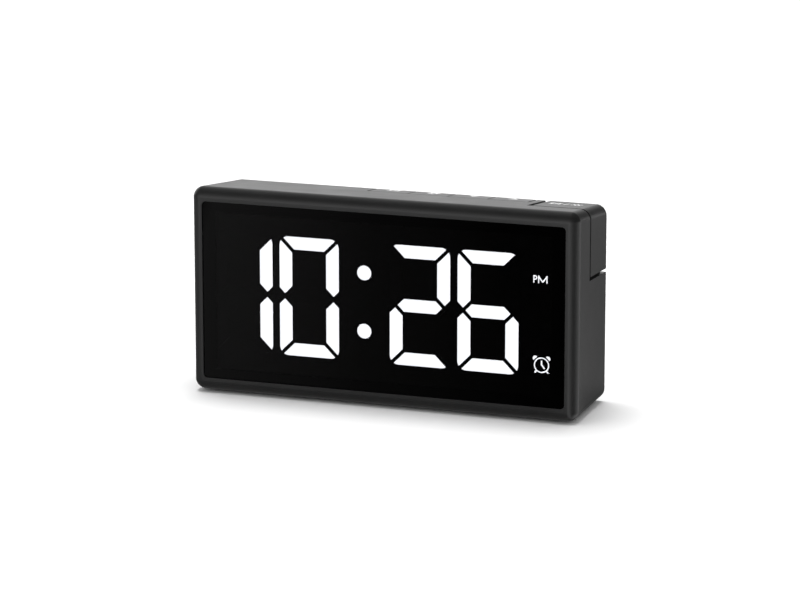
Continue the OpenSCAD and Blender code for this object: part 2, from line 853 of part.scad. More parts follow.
module display_lens() {
  color("#0a0a0c")
    from_front(lens_sink, lens_back)
      translate([0, lens_z]) rounded(lens_open_w - fit_gap, lens_open_h - fit_gap, lens_r - fit_gap / 2);
}

module lens_tape() {
  color("#202020")
    from_front(lens_back, seat_depth)
      translate([0, lens_z])
        difference() {
          rounded(lens_open_w - fit_gap, lens_open_h - fit_gap, lens_r - fit_gap / 2);
          square([window_w, window_h], center = true);
        }
}

module reflector_block() {
  color("#111113")
    difference() {
      union() {
        from_front(face_depth, front_wall + over / 2)
          translate([0, lens_z]) square([face_w, face_h], center = true);
        from_front(front_wall, board_depth)
          translate([0, lens_z]) square([face_w, box_h], center = true);
      }
      from_front(face_depth - over, board_depth + over) {
        post_notches();
        segments(true, guide_gap);
        segments(false, guide_gap);
        dots(guide_gap);
      }
      from_front(face_depth - over, face_depth + mark_t) {
        translate(pm_place) pm_letters(guide_gap);
        translate(alarm_place) alarm_sign(guide_gap);
      }
      from_front(face_depth + mark_t + skin_t, board_depth + over)
        for (place = [pm_place, alarm_place]) translate(place) circle(mark_well_r, $fn = 48);
    }
}

module lit_segments() {
  color("white") from_front(face_depth, guide_depth) segments(true, 0);
}

module unlit_segments() {
  color("#2a2a2c") from_front(face_depth, guide_depth) segments(false, 0);
}

module colon_dots() {
  color("white") from_front(face_depth, guide_depth) dots(0);
}

module pm_indicator() {
  color("white")
    from_front(face_depth, face_depth + mark_t) translate(pm_place) pm_letters(0);
}

module alarm_indicator() {
  color("white")
    from_front(face_depth, face_depth + mark_t) translate(alarm_place) alarm_sign(0);
}

module led_chips() {
  color("#f2eec0")
    from_front(board_depth - chip_h, board_depth) {
      for (place = [0:3], letter = letters, spot = chip_spots(letter))
        translate([digit_x[place], digit_z] + spot) square(led_chip, center = true);
      for (side = [-1, 1])
        translate([colon_x, digit_z + side * dot_pitch / 2]) square(led_chip, center = true);
      for (place = [pm_place, alarm_place]) translate(place) square(led_chip, center = true);
    }
}

// Main board and what is soldered to it

// Notches that let the boards pass the cover posts when they go in from the rear
module post_notches() {
  for (p = cover_posts)
    translate([p.x < 0 ? p.x + post_notch - far : p.x - post_notch, p[1] - post_notch])
      square([far, 2 * post_notch]);
}

module main_board() {
  color("#20562f")
    difference() {
      from_front(board_depth, board_back)
        translate([0, lens_z]) square([main_board_w, main_board_h], center = true);
      from_front(board_depth - over, board_back + over) post_notches();
      for (side = [-1, 1], up = [-1, 1])
        rear_screw(side * board_post_x, board_depth - over, lens_z + up * board_post_up)
          cylinder(h = board_t + 2 * over, d = board_screw_d + 2 * cover_hole_gap, $fn = 32);
    }
}

module board_screws() {
  color("#9a9ca0")
    for (side = [-1, 1], up = [-1, 1])
      rear_screw(side * board_post_x, board_back, lens_z + up * board_post_up)
        screw(board_screw_d, board_screw_l, board_head_d, board_head_h);
}

// A chip with legs on two sides, lying on the back of the main board
module chip(place, size, legs) {
  pitch = size.x / legs;
  from_front(board_back + chip_lift, board_back + chip_t)
    translate([place.x, lens_z + place.y]) square(size, center = true);
  for (i = [0:legs - 1])
    from_front(board_back, board_back + chip_t / 2)
      translate([place.x + (i + 0.5) * pitch - size.x / 2, lens_z + place.y])
        square([pitch * chip_leg_share, size.y + 2 * chip_leg_out], center = true);
}

module microcontroller() {
  color("#1a1a1c") chip(controller_place, controller_size, controller_legs);
}

module led_drivers() {
  color("#1a1a1c") for (place = driver_places) chip(place, driver_size, driver_legs);
}

module crystal() {
  color("#b9bcc0")
    from_front(board_back, board_back + crystal_t)
      translate([crystal_place.x, lens_z + crystal_place.y])
        rounded(crystal_size.x, crystal_size.y, crystal_size.y * 0.48);
}

module capacitors() {
  color("#2a2f3a")
    for (place = capacitor_places)
      rear_screw(place.x, board_back, lens_z + place.y) cylinder(h = capacitor_h, d = capacitor_d, $fn = 48);
}

// Flat cables and their sockets

// A bent strip in side view: from a point up under a board, or down onto one, and forwards to the main board
module ribbon_path(y_board, z_board, z_turn, up) {
  y_main = y_at(board_back) + ribbon_socket_h;
  b = ribbon_bend;
  inner = b - ribbon_t;
  translate([y_board - ribbon_t, min(z_board, z_turn + up * b)])
    square([ribbon_t, abs(z_board - z_turn - up * b)]);
  translate([y_board - b, z_turn + up * b])
    difference() {
      intersection() {
        circle(b, $fn = 48);
        translate([0, up > 0 ? -b : 0]) square(b);
      }
      circle(inner, $fn = 48);
    }
  translate([y_main, up > 0 ? z_turn : z_turn - ribbon_t]) square([y_board - b - y_main, ribbon_t]);
}

module key_ribbon() {
  color("#d8d8d2")
    from_side(key_ribbon_x - ribbon_w / 2, key_ribbon_x + ribbon_w / 2)
      ribbon_path(key_ribbon_y, key_board_low - ribbon_socket_h, key_ribbon_z, 1);
}

module power_ribbon() {
  color("#d8d8d2")
    from_side(power_ribbon_x - ribbon_w / 2, power_ribbon_x + ribbon_w / 2)
      ribbon_path(power_ribbon_y, power_top + ribbon_socket_h, power_ribbon_z, -1);
}

module ribbon_sockets() {
  color("#ece8da") {
    ribbon_pair(key_ribbon_x, key_ribbon_y, key_board_low - ribbon_socket_h, key_ribbon_z + ribbon_t / 2);
    ribbon_pair(power_ribbon_x, power_ribbon_y, power_top, power_ribbon_z - ribbon_t / 2);
  }
}

// The two sockets of one flat cable: one on its own board, one on the main board
module ribbon_pair(x, y, z_low, z_main) {
  w = ribbon_socket_w;
  t = ribbon_socket_t;
  y_low = y - (ribbon_t + t) / 2;
  y_main = y_at(board_back);
  block([x - w / 2, y_low, z_low], [x + w / 2, y_low + t, z_low + ribbon_socket_h]);
  block([x - w / 2, y_main, z_main - t / 2], [x + w / 2, y_main + ribbon_socket_h, z_main + t / 2]);
}

// Buttons, key and their board

function button_x(place) = row_x + (place - 1.5) * button_pitch;

// A top button: a flush cap, a stem over the switch and a leg that hooks under the key board
module button(place) {
  x = button_x(place);
  half = (button_pitch - seam) / 2;
  color("#2e2e30") {
    from_side(x - half, x + half)
      polygon([
        [button_front, button_low], [rear, button_low],
        [rear, top_z(rear, 0)], [button_front, top_z(button_front, 0)],
      ]);
    translate([x, switch_y, plunger_top]) cylinder(h = stem_h + over / 2, d = plunger_d, $fn = 48);
    hooked_leg(x + leg_out, leg_y, button_low + over / 2);
  }
}

// A leg that hangs from a height through the key board and hooks under it, towards the front
module hooked_leg(x, y, z_high) {
  z_hook = key_board_low - fit_gap;
  from_side(x - leg_w / 2, x + leg_w / 2)
    polygon([
      [y, z_high], [y, z_hook], [y - hook, z_hook], [y, z_hook - hook_h],
      [y + leg_t, z_hook - hook_h], [y + leg_t, z_high],
    ]);
}

// The hole in the key board for one hooked leg
module leg_hole(x, y) {
  block(
    [x - leg_w / 2 - slot_gap, y - slot_gap, key_board_low - over],
    [x + leg_w / 2 + slot_gap, y + leg_t + slot_gap, key_board_top + over]);
}

module alarm_button() { button(0); }
module set_button() { button(1); }
module down_button() { button(2); }
module up_button() { button(3); }

// The moving plunger of one switch
module plunger(x) {
  color("#e8e4d8")
    translate([x, switch_y, switch_top - plunger_in])
      cylinder(h = plunger_h + plunger_in, d = plunger_d, $fn = 48);
}

module alarm_plunger() { plunger(button_x(0)); }
module set_plunger() { plunger(button_x(1)); }
module down_plunger() { plunger(button_x(2)); }
module up_plunger() { plunger(button_x(3)); }
module snooze_plunger() { plunger(key_stem_x); }

module switch_bodies() {
  hole_depth = plunger_in + key_travel + fit_gap;
  color("#3a3a3c")
    for (x = [for (place = [0:3]) button_x(place), key_stem_x])
      difference() {
        translate([x - switch_w / 2, switch_y - switch_w / 2, key_board_top])
          cube([switch_w, switch_w, switch_h]);
        translate([x, switch_y, switch_top - hole_depth])
          cylinder(h = hole_depth + over, d = plunger_d + 2 * plunger_gap, $fn = 48);
      }
}

module key_board() {
  color("#20562f")
    difference() {
      block(
        [key_board_left, key_board_front, key_board_low],
        [key_board_right, key_board_rear, key_board_top]);
      for (place = [0:3]) leg_hole(button_x(place) + leg_out, leg_y);
      for (x = key_leg_x) leg_hole(x, leg_y);
      for (x = key_post_x)
        translate([x, key_post_y, key_board_low - over])
          cylinder(h = board_t + 2 * over, d = board_screw_d + 2 * cover_hole_gap, $fn = 32);
    }
}

module key_board_screws() {
  color("#9a9ca0")
    for (x = key_post_x)
      translate([x, key_post_y, key_board_low])
        rotate([180, 0, 0]) screw(board_screw_d, board_screw_l, board_head_d, board_head_h);
}

// A height inside the key's top wall, for what hangs from it
function key_roof(y) = top_z(y, wall / 2);

// The height of the key's lower edge, which falls a little towards the rear
function key_low(y) = base + case_h - key_h - (y - key_front) * tan(key_fall);

// The place of the key at the top right corner, grown to its left, front and below, up to an end at the rear
module key_room(grow, y_end, grow_left) {
  start = key_front - grow;
  from_side(key_left - grow_left, far)
    polygon([[start, key_low(start) - grow], [y_end, key_low(y_end) - grow], [y_end, far], [start, far]]);
}

// A wall of the key between two insets from the outside of the case, where the key's place is grown
module key_wall(inset0, inset1, grow, y_end, grow_left) {
  start = key_front - grow - over;
  intersection() {
    difference() {
      sleeve(inset0, start, y_end + over);
      sleeve(inset1, start - over, y_end + 2 * over);
    }
    key_room(grow, y_end, grow_left);
  }
}

// The corner key: an L-shaped piece of the case wall with a rear lip, a flange that lies under the case wall
// and closes the gap, a pressing stem and two hooked legs
module snooze_key() {
  color("#2e2e30") {
    intersection() {
      difference() {
        sleeve(0, key_front - over, rear);
        sleeve(wall, key_front - 2 * over, rear - key_lip_t);
        block([0, rear - key_lip_t - over, 0], [half_w(rear, wall), rear + over, key_lip_low]);
      }
      key_room(0, rear + over, 0);
    }
    key_wall(
      wall / 2, key_shell - key_flange_t / 2, -key_flange_t, key_flange_rear - key_flange_t, -key_flange_t
    );
    key_wall(
      wall + fit_gap, key_shell, key_gap + key_flange_reach, key_flange_rear, key_slot + key_flange_reach
    );
    translate([key_stem_x, switch_y, plunger_top])
      cylinder(h = key_roof(switch_y) - plunger_top, r = key_stem_r, $fn = 48);
    for (x = key_leg_x) hooked_leg(x, leg_y, key_roof(leg_y));
  }
}

// Power board, inlet, buzzer and backup cell

module power_board() {
  color("#20562f")
    difference() {
      block([power_left, power_front, power_z], [power_right, power_rear, power_top]);
      for (p = power_posts)
        translate([p.x, p.y, power_z - over])
          cylinder(h = board_t + 2 * over, d = board_screw_d + 2 * cover_hole_gap, $fn = 32);
    }
}

module power_board_screws() {
  color("#9a9ca0")
    for (p = power_posts)
      translate([p.x, p.y, power_top]) screw(board_screw_d, board_screw_l, board_head_d, board_head_h);
}

module power_socket() {
  inner_w = socket_w - 2 * socket_shell_t;
  inner_h = socket_h - 2 * socket_shell_t;
  color("#b9bcc0")
    difference() {
      from_front(socket_back, socket_mouth)
        translate([socket_x, socket_z]) rounded(socket_w, socket_h, socket_h * 0.48);
      from_front(socket_back + socket_floor_t, case_d + over)
        translate([socket_x, socket_z]) rounded(inner_w, inner_h, inner_h * 0.48);
    }
}

module socket_tongue() {
  color("#1a1a1c")
    from_front(socket_back + socket_floor_t, socket_mouth - tongue_in)
      translate([socket_x, socket_z]) square([tongue_w, tongue_t], center = true);
}

module buzzer() {
  color("#161618")
    translate([buzzer_x, buzzer_y, power_top])
      difference() {
        cylinder(h = buzzer_h, d = buzzer_d, $fn = 64);
        translate([0, 0, buzzer_h - buzzer_hole_h])
          cylinder(h = buzzer_hole_h + over, d = buzzer_hole_d, $fn = 32);
      }
}

module coin_cell() {
  color("#c4c6ca")
    from_front(well_floor, well_floor + cell_t) translate([door_x, door_z]) circle(cell_d / 2, $fn = 96);
}

// Two spring strips that stand on the power board: one meets the cell's face, one its rim
module cell_contacts() {
  color("#d9c27a") {
    from_front(face_contact_depth - contact_t, face_contact_depth)
      translate([door_x + contact_offset - contact_w / 2, power_top])
        square([contact_w, door_z + contact_top - power_top]);
    from_front(face_contact_depth - contact_t / 2, well_floor)
      translate([door_x + contact_offset, door_z]) circle(contact_dimple_d / 2, $fn = 48);
    from_front(rim_contact_depth, rim_contact_depth + contact_t)
      translate([door_x - contact_offset - contact_w / 2, power_top])
        square([contact_w, rim_contact_top - power_top]);
  }
}

housing();
rear_cover();
cover_screws();
feet();
display_lens();
lens_tape();
reflector_block();
lit_segments();
unlit_segments();
colon_dots();
pm_indicator();
alarm_indicator();
led_chips();
main_board();
board_screws();
microcontroller();
led_drivers();
crystal();
capacitors();
ribbon_sockets();
key_ribbon();
power_ribbon();
key_board();
key_board_screws();
switch_bodies();
alarm_button();
set_button();
down_button();
up_button();
alarm_plunger();
set_plunger();
down_plunger();
up_plunger();
snooze_key();
snooze_plunger();
power_board();
power_board_screws();
power_socket();
socket_tongue();
buzzer();
coin_cell();
cell_contacts();
battery_door();
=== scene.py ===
import math

import bmesh
import bpy
from mathutils import Matrix, Vector
from mathutils.bvhtree import BVHTree


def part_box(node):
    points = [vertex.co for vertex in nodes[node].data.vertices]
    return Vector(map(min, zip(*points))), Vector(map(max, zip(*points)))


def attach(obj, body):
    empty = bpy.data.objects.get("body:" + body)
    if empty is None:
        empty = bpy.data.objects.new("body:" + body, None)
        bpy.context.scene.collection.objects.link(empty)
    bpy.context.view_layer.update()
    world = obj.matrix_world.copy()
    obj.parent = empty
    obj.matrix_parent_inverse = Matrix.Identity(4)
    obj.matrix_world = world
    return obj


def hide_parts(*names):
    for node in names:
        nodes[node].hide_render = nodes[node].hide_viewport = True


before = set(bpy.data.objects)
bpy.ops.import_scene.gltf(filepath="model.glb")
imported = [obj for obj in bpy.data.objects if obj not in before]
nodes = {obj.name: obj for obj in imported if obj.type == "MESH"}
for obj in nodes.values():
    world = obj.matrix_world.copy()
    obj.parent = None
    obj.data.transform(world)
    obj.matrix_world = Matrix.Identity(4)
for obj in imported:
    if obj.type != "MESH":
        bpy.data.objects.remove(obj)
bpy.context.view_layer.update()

# Housing
# The front frame and sleeve of the case, one injection moulding in black ABS with a fine spark texture.
# Every other piece is fitted into it: the lens from the front, the boards and the cover from the back.
MM = 0.001


def node(tree, kind, inputs=None, **settings):
    """A shader node with its settings made and its inputs linked or set."""
    made = tree.nodes.new(kind if kind.startswith("Node") else "ShaderNode" + kind)
    for key, value in settings.items():
        setattr(made, key, value)
    for key, value in (inputs or {}).items():
        if isinstance(value, bpy.types.NodeSocket):
            tree.links.new(value, made.inputs[key])
        else:
            made.inputs[key].default_value = value
    return made


def new_finish(name, **plain):
    """A material with the plain values of its shader set, its shader and its Object coordinates."""
    material = bpy.data.materials.new(name)
    material.use_nodes = True
    tree = material.node_tree
    shader = tree.nodes["Principled BSDF"]
    for socket, value in plain.items():
        shader.inputs[socket.replace("_", " ")].default_value = value
    return material, tree, shader, node(tree, "TexCoord").outputs["Object"]


def ramp(tree, value, stops):
    """A colour ramp on a value: stops are (position, grey) or (position, (r, g, b))."""
    made = node(tree, "ValToRGB", {"Fac": value})
    while len(made.color_ramp.elements) < len(stops):
        made.color_ramp.elements.new(1)
    for element, (position, colour) in zip(made.color_ramp.elements, stops):
        element.position = position
        element.color = (*colour, 1) if isinstance(colour, tuple) else (colour, colour, colour, 1)
    return made.outputs["Color"]


def spread(tree, value, low, high, from_low=0.0, from_high=1.0):
    """A value moved from one range to another."""
    limits = {"Value": value, "From Min": from_low, "From Max": from_high, "To Min": low, "To Max": high}
    return node(tree, "MapRange", limits).outputs["Result"]


def feed(tree, shader, **sockets):
    """Links values that change over the surface to the shader."""
    for socket, value in sockets.items():
        tree.links.new(value, shader.inputs[socket.replace("_", " ")])


def bumped(tree, height, strength, distance):
    """A normal from a height."""
    values = {"Height": height, "Strength": strength, "Distance": distance}
    return node(tree, "Bump", values).outputs["Normal"]


def grain_group():
    """The skin of a moulding: fine spark-eroded pits, and a slow unevenness in tone and gloss."""
    tree = bpy.data.node_groups.new("moulded_grain", "ShaderNodeTree")
    for name, way, kind in (
        ("Place", "INPUT", "NodeSocketVector"),
        ("Pits", "INPUT", "NodeSocketFloat"),
        ("Clouds", "INPUT", "NodeSocketFloat"),
        ("Height", "OUTPUT", "NodeSocketFloat"),
        ("Tone", "OUTPUT", "NodeSocketFloat"),
    ):
        tree.interface.new_socket(name=name, in_out=way, socket_type=kind)
    start = node(tree, "NodeGroupInput").outputs
    pits = {"Vector": start["Place"], "Scale": start["Pits"], "Smoothness": 0.6}
    cells = node(tree, "TexVoronoi", pits, feature="SMOOTH_F1")
    dust = {"Vector": start["Place"], "Scale": start["Pits"], "Detail": 2.0}
    fine = node(tree, "TexNoise", dust)
    height = node(tree, "Math", {0: cells.outputs["Distance"], 1: fine.outputs["Fac"]}, operation="ADD")
    slow = {"Vector": start["Place"], "Scale": start["Clouds"], "Detail": 5.0, "Roughness": 0.6}
    clouds = node(tree, "TexNoise", slow)
    ends = {"Height": height.outputs["Value"], "Tone": clouds.outputs["Fac"]}
    node(tree, "NodeGroupOutput", ends)
    return tree


moulded_grain = grain_group()


def skin_of(tree, place, pits, clouds):
    """The moulded skin placed in a material: its height and its tone."""
    values = {"Place": place, "Pits": pits, "Clouds": clouds}
    return node(tree, "Group", values, node_tree=moulded_grain).outputs


def moulded(name, dark, light, rough, pits=4500.0, clouds=60.0, bump=0.12, depth=0.04 * MM):
    """A moulded finish: two tones, a range of roughness, and the depth of its texture."""
    material, tree, shader, place = new_finish(name)
    skin = skin_of(tree, place, pits, clouds)
    feed(
        tree, shader,
        Base_Color=ramp(tree, skin["Tone"], ((0.3, dark), (0.7, light))),
        Roughness=spread(tree, skin["Tone"], *rough, 0.3, 0.7),
        Normal=bumped(tree, skin["Height"], bump, depth),
    )
    return material


def search_tree(*solids):
    """Solids in one search tree, to tell what a ray meets."""
    points, faces = [], []
    for each in solids:
        first = len(points)
        points += [vertex.co.copy() for vertex in each.data.vertices]
        faces += [[first + i for i in face.vertices] for face in each.data.polygons]
    return BVHTree.FromPolygons(points, faces)


outside = search_tree(*nodes.values())
SIDES = (-1, 0, 1)
LOOKS = [
    Vector((x, y, z)).normalized()
    for x in SIDES for y in SIDES for z in SIDES if x or y or z
]
LOOK_OFF = 0.05 * MM
SHARP = math.radians(32)
FLAT = math.radians(0.2)
MERGE = 0.001 * MM
MOULD_EASE = 0.1 * MM


def seen(edge):
    """True where an edge can be seen from outside the case."""
    out = sum((face.normal for face in edge.link_faces), Vector()).normalized()
    start = (edge.verts[0].co + edge.verts[1].co) / 2 + out * LOOK_OFF
    return any(outside.ray_cast(start, look)[0] is None for look in LOOKS if look.dot(out) > 0)


def sharp_and_seen(edge):
    """True for a sharp outer edge that stands out from the piece."""
    if len(edge.link_faces) != 2 or not edge.is_convex:
        return False
    return edge.calc_face_angle(0) > SHARP and seen(edge)


def show(mesh, name):
    """A new object in the scene, at the origin."""
    piece = bpy.data.objects.new(name, mesh)
    bpy.context.scene.collection.objects.link(piece)
    return piece


def eased(of, name, reach, body, material):
    """Shows a copy of a solid with its sharp outer edges eased, which stands for it."""
    shape = bmesh.new()
    shape.from_mesh(nodes[of].data)
    bmesh.ops.remove_doubles(shape, verts=shape.verts, dist=MERGE)
    bmesh.ops.dissolve_limit(shape, angle_limit=FLAT, verts=shape.verts, edges=shape.edges)
    rim = [edge for edge in shape.edges if sharp_and_seen(edge)]
    bmesh.ops.bevel(
        shape, geom=rim, offset=reach, offset_type="OFFSET", affect="EDGES",
        segments=2, profile=0.5, material=-1, clamp_overlap=False,
    )
    bmesh.ops.remove_doubles(shape, verts=shape.verts, dist=MERGE)
    for face in shape.faces:
        face.smooth = True
    for edge in shape.edges:
        edge.smooth = len(edge.link_faces) == 2 and edge.calc_face_angle(0) < SHARP
    mesh = bpy.data.meshes.new(name)
    shape.to_mesh(mesh)
    shape.free()
    if mesh.attributes.get("custom_normal"):
        mesh.attributes.remove(mesh.attributes["custom_normal"])
    mesh.materials.append(material)
    piece = show(mesh, name)
    even = piece.modifiers.new("even_normals", "WEIGHTED_NORMAL")
    even.keep_sharp = True
    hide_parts(of)
    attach(piece, body)


case_plastic = moulded("case_plastic", 0.0105, 0.0125, (0.36, 0.42))
eased("housing", "case_shell", MOULD_EASE, "case", case_plastic)

# Window
# A pane of smoked acrylic, dropped into the step in the front and held all round by double-sided tape.
# It is polished, and a black border printed on its back hides the tape and the edge of the light box.
PRINT_X = 65.0 * MM
PRINT_Z = 29.5 * MM
PRINT_EDGE = 0.2 * MM
PANE_EASE = 0.15 * MM


def join(tree, operation, first, second):
    """Two values in one."""
    return node(tree, "Math", {0: first, 1: second}, operation=operation).outputs["Value"]


def inside_print(tree, value, middle, reach):
    """One where a value is within reach of the middle, falling to none over the edge of the print."""
    off = join(tree, "SUBTRACT", value, middle)
    away = node(tree, "Math", {0: off}, operation="ABSOLUTE").outputs["Value"]
    return spread(tree, away, 1.0, 0.0, reach, reach + PRINT_EDGE)


def smoked_acrylic():
    """Smoked clear acrylic, black where the border is printed, with a slight flow and haze."""
    plain = {"Transmission_Weight": 1.0, "IOR": 1.22, "Metallic": 0.0}
    material, tree, shader, place = new_finish("smoked_lens", **plain)
    low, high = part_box("display_lens")
    axes = node(tree, "SeparateXYZ", {"Vector": place}).outputs
    clear = join(
        tree, "MINIMUM",
        inside_print(tree, axes["X"], 0.0, PRINT_X),
        inside_print(tree, axes["Z"], (low.z + high.z) / 2, PRINT_Z),
    )
    flow = node(tree, "TexNoise", {"Vector": place, "Scale": 14.0, "Detail": 1.0}).outputs["Fac"]
    haze = node(tree, "TexNoise", {"Vector": place, "Scale": 900.0, "Detail": 3.0}).outputs["Fac"]
    feed(
        tree, shader,
        Base_Color=ramp(tree, clear, ((0.0, 0.002), (1.0, (0.12, 0.12, 0.125)))),
        Roughness=spread(tree, haze, 0.0, 0.03, 0.45, 0.8),
        Normal=bumped(tree, flow, 0.02, 0.1 * MM),
    )
    return material


eased("display_lens", "window_pane", PANE_EASE, "case", smoked_acrylic())


def paint(material, *names):
    """Gives a finish to solids that are shown as they are."""
    for each in names:
        nodes[each].data.materials.clear()
        nodes[each].data.materials.append(material)


sticky_tape = moulded(
    "sticky_tape", 0.012, 0.03, (0.75, 0.95), pits=2500.0, clouds=300.0, bump=0.5, depth=0.08 * MM
)
paint(sticky_tape, "lens_tape")

# Light box and its lit segments
# A light box with one white well for each segment and a black front, so no light strays between them.
# Milky guides fill the wells, and an LED chip on the board lights each from behind.
WELL_EDGE = 0.3 * MM
GLOW = 8.8


def light_box():
    """White plastic with a black print on its front face."""
    material, tree, shader, place = new_finish("light_box")
    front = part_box("reflector_block")[0].y
    depth = node(tree, "SeparateXYZ", {"Vector": place}).outputs["Y"]
    skin = skin_of(tree, place, 5000.0, 80.0)
    ink = spread(tree, depth, 0.0, 1.0, front + WELL_EDGE / 2, front + WELL_EDGE)
    feed(
        tree, shader,
        Base_Color=ramp(tree, ink, ((0.0, 0.006), (1.0, 0.8))),
        Roughness=spread(tree, skin["Tone"], 0.55, 0.8),
        Normal=bumped(tree, skin["Height"], 0.2, 0.04 * MM),
    )
    return material


def lit_guide():
    """A milky guide lit from behind, slightly uneven."""
    material, tree, shader, place = new_finish("lit_guide", Emission_Strength=GLOW, Roughness=0.4)
    glow = node(tree, "TexNoise", {"Vector": place, "Scale": 90.0, "Detail": 1.0}).outputs["Fac"]
    white = ramp(tree, glow, ((0.3, (0.97, 0.985, 1.0)), (0.7, (1.0, 1.0, 1.0))))
    feed(tree, shader, Base_Color=white, Emission_Color=white)
    return material


def led_epoxy():
    """Yellow phosphor grains in clear epoxy."""
    material, tree, shader, place = new_finish("led_epoxy", Coat_Weight=0.4)
    grains = node(tree, "TexVoronoi", {"Vector": place, "Scale": 9000.0}).outputs["Distance"]
    stops = ((0.0, (0.85, 0.62, 0.12)), (0.6, (0.9, 0.78, 0.4)), (1.0, (0.9, 0.88, 0.8)))
    feed(tree, shader, Base_Color=ramp(tree, grains, stops), Roughness=spread(tree, grains, 0.25, 0.5))
    return material


paint(light_box(), "reflector_block")
paint(lit_guide(), "lit_segments", "colon_dots", "pm_indicator", "alarm_indicator")
paint(moulded("unlit_guide", 0.004, 0.006, (0.5, 0.7)), "unlit_segments")
paint(led_epoxy(), "led_chips")

# Main board
# A glass-epoxy board under a green solder mask, screwed to four posts of the housing behind the light box.
# It carries the controller, the two segment drivers, the quartz can and the two filter capacitors.


def brushed(name, dark, light, rough, along, scratch=0.15):
    """A metal finish with fine lines drawn along one axis, from its scale on X, Y and Z."""
    material, tree, shader, place = new_finish(name, Metallic=1.0)
    drawn = node(tree, "Mapping", {"Vector": place, "Scale": along}).outputs["Vector"]
    lines = node(tree, "TexNoise", {"Vector": drawn, "Scale": 1.0, "Detail": 4.0}).outputs["Fac"]
    stain = node(tree, "TexNoise", {"Vector": place, "Scale": 250.0, "Detail": 3.0}).outputs["Fac"]
    feed(
        tree, shader,
        Base_Color=ramp(tree, stain, ((0.3, dark), (0.7, light))),
        Roughness=spread(tree, lines, *rough, 0.3, 0.7),
        Normal=bumped(tree, lines, scratch, 0.02 * MM),
    )
    return material


def board_green():
    """Green solder mask over raised copper tracks and a fine glass weave."""
    material, tree, shader, place = new_finish("board_green", Coat_Weight=0.3)
    grid = {"Vector": place, "Scale": 420.0, "Mortar Size": 0.06, "Brick Width": 1.7}
    tracks = node(tree, "TexBrick", grid, offset=0.37)
    weave = node(tree, "TexWave", {"Vector": place, "Scale": 700.0, "Distortion": 1.0}).outputs["Fac"]
    copper = spread(tree, tracks.outputs["Fac"], 0.0, 1.0)
    feed(
        tree, shader,
        Base_Color=ramp(tree, copper, ((0.0, (0.006, 0.07, 0.028)), (1.0, (0.015, 0.16, 0.05)))),
        Roughness=spread(tree, weave, 0.3, 0.45),
        Normal=bumped(tree, copper, 0.3, 0.03 * MM),
    )
    return material


def capacitor_sleeve():
    """A dark shrunk sleeve with a pale stripe that marks one pole."""
    material, tree, shader, place = new_finish("capacitor_sleeve", Coat_Weight=0.2)
    bands = {"Vector": place, "Scale": 50.0, "Distortion": 0.0}
    stripes = node(tree, "TexWave", bands, bands_direction="X").outputs["Fac"]
    skin = skin_of(tree, place, 3000.0, 120.0)
    feed(
        tree, shader,
        Base_Color=ramp(tree, stripes, ((0.9, (0.012, 0.014, 0.02)), (0.95, (0.4, 0.42, 0.45)))),
        Roughness=spread(tree, skin["Tone"], 0.3, 0.45),
        Normal=bumped(tree, skin["Height"], 0.1, 0.03 * MM),
    )
    return material


chip_black = moulded("chip_black", 0.012, 0.02, (0.45, 0.6), pits=7000.0, clouds=400.0, bump=0.3)
crystal_can = brushed(
    "crystal_can", (0.55, 0.55, 0.53), (0.68, 0.68, 0.66), (0.2, 0.35), along=(900, 900, 12000)
)
paint(board_green(), "main_board", "key_board", "power_board")
paint(chip_black, "microcontroller", "led_drivers")
paint(crystal_can, "crystal")
paint(capacitor_sleeve(), "capacitors")

# Screws
# Pan-head self-tapping screws with a cross recess, in zinc-plated steel, one for each post of the case.
# Only the heads of the four in the rear cover are seen, sunk in their recesses.
SCREW_EASE = 0.08 * MM
screw_steel = brushed(
    "screw_steel", (0.32, 0.32, 0.33), (0.5, 0.5, 0.5), (0.28, 0.45), along=(4000, 4000, 4000), scratch=0.2
)
paint(screw_steel, "board_screws", "key_board_screws", "power_board_screws")
eased("cover_screws", "cover_screw_heads", SCREW_EASE, "case", screw_steel)

# Flat cables
# Grey vinyl cables of parallel wires, which join the key board and the power board to the main board.
# Each end is pushed into a nylon socket on its board.


def ribbon_vinyl():
    """Grey vinyl in ridges, one over each wire, with painted shade darkening the grooves between them."""
    material, tree, shader, place = new_finish("ribbon_vinyl")
    wires = node(tree, "TexWave", {"Vector": place, "Scale": 157.0}, bands_direction="X").outputs["Fac"]
    feed(
        tree, shader,
        Base_Color=ramp(tree, wires, ((0.0, 0.2), (0.5, 0.42), (1.0, 0.5))),
        Roughness=spread(tree, wires, 0.55, 0.4),
        Normal=bumped(tree, wires, 0.6, 0.1 * MM),
    )
    return material


paint(ribbon_vinyl(), "key_ribbon", "power_ribbon")
paint(moulded("socket_nylon", (0.62, 0.6, 0.52), (0.72, 0.7, 0.63), (0.4, 0.55)), "ribbon_sockets")

# Key switches
# Five tact switches soldered to the key board, each a black moulded body with a spring in it.
# A white plunger stands out of each, and rises and falls with its button.
paint(moulded("switch_black", 0.014, 0.024, (0.4, 0.55), pits=6000.0), "switch_bodies")
plunger_white = moulded("plunger_white", (0.66, 0.66, 0.63), (0.76, 0.76, 0.73), (0.35, 0.5))
paint(plunger_white, *(f"{key}_plunger" for key in ("alarm", "set", "down", "up", "snooze")))

# Buttons
# Four flush buttons along the rear of the top, moulded in the same black ABS with a slightly finer texture.
# Each carries a white pad-printed sign by its rear edge: an alarm clock, a gear, and arrows down and up.
INK = 0.04
INK_SUNK = 0.01
SIGN_IN = 2.95
ALARM_SIZE = 1.35
GEAR_RING = 1.85
ARROW = 2.5
ARROW_OFF = 0.4
BUTTON_PITS = 5200.0
button_plastic = moulded("button_plastic", 0.0105, 0.0125, (0.34, 0.4), pits=BUTTON_PITS)
printed_white = moulded("printed_white", 0.78, 0.86, (0.5, 0.65), pits=9000.0, clouds=500.0, bump=0.2)


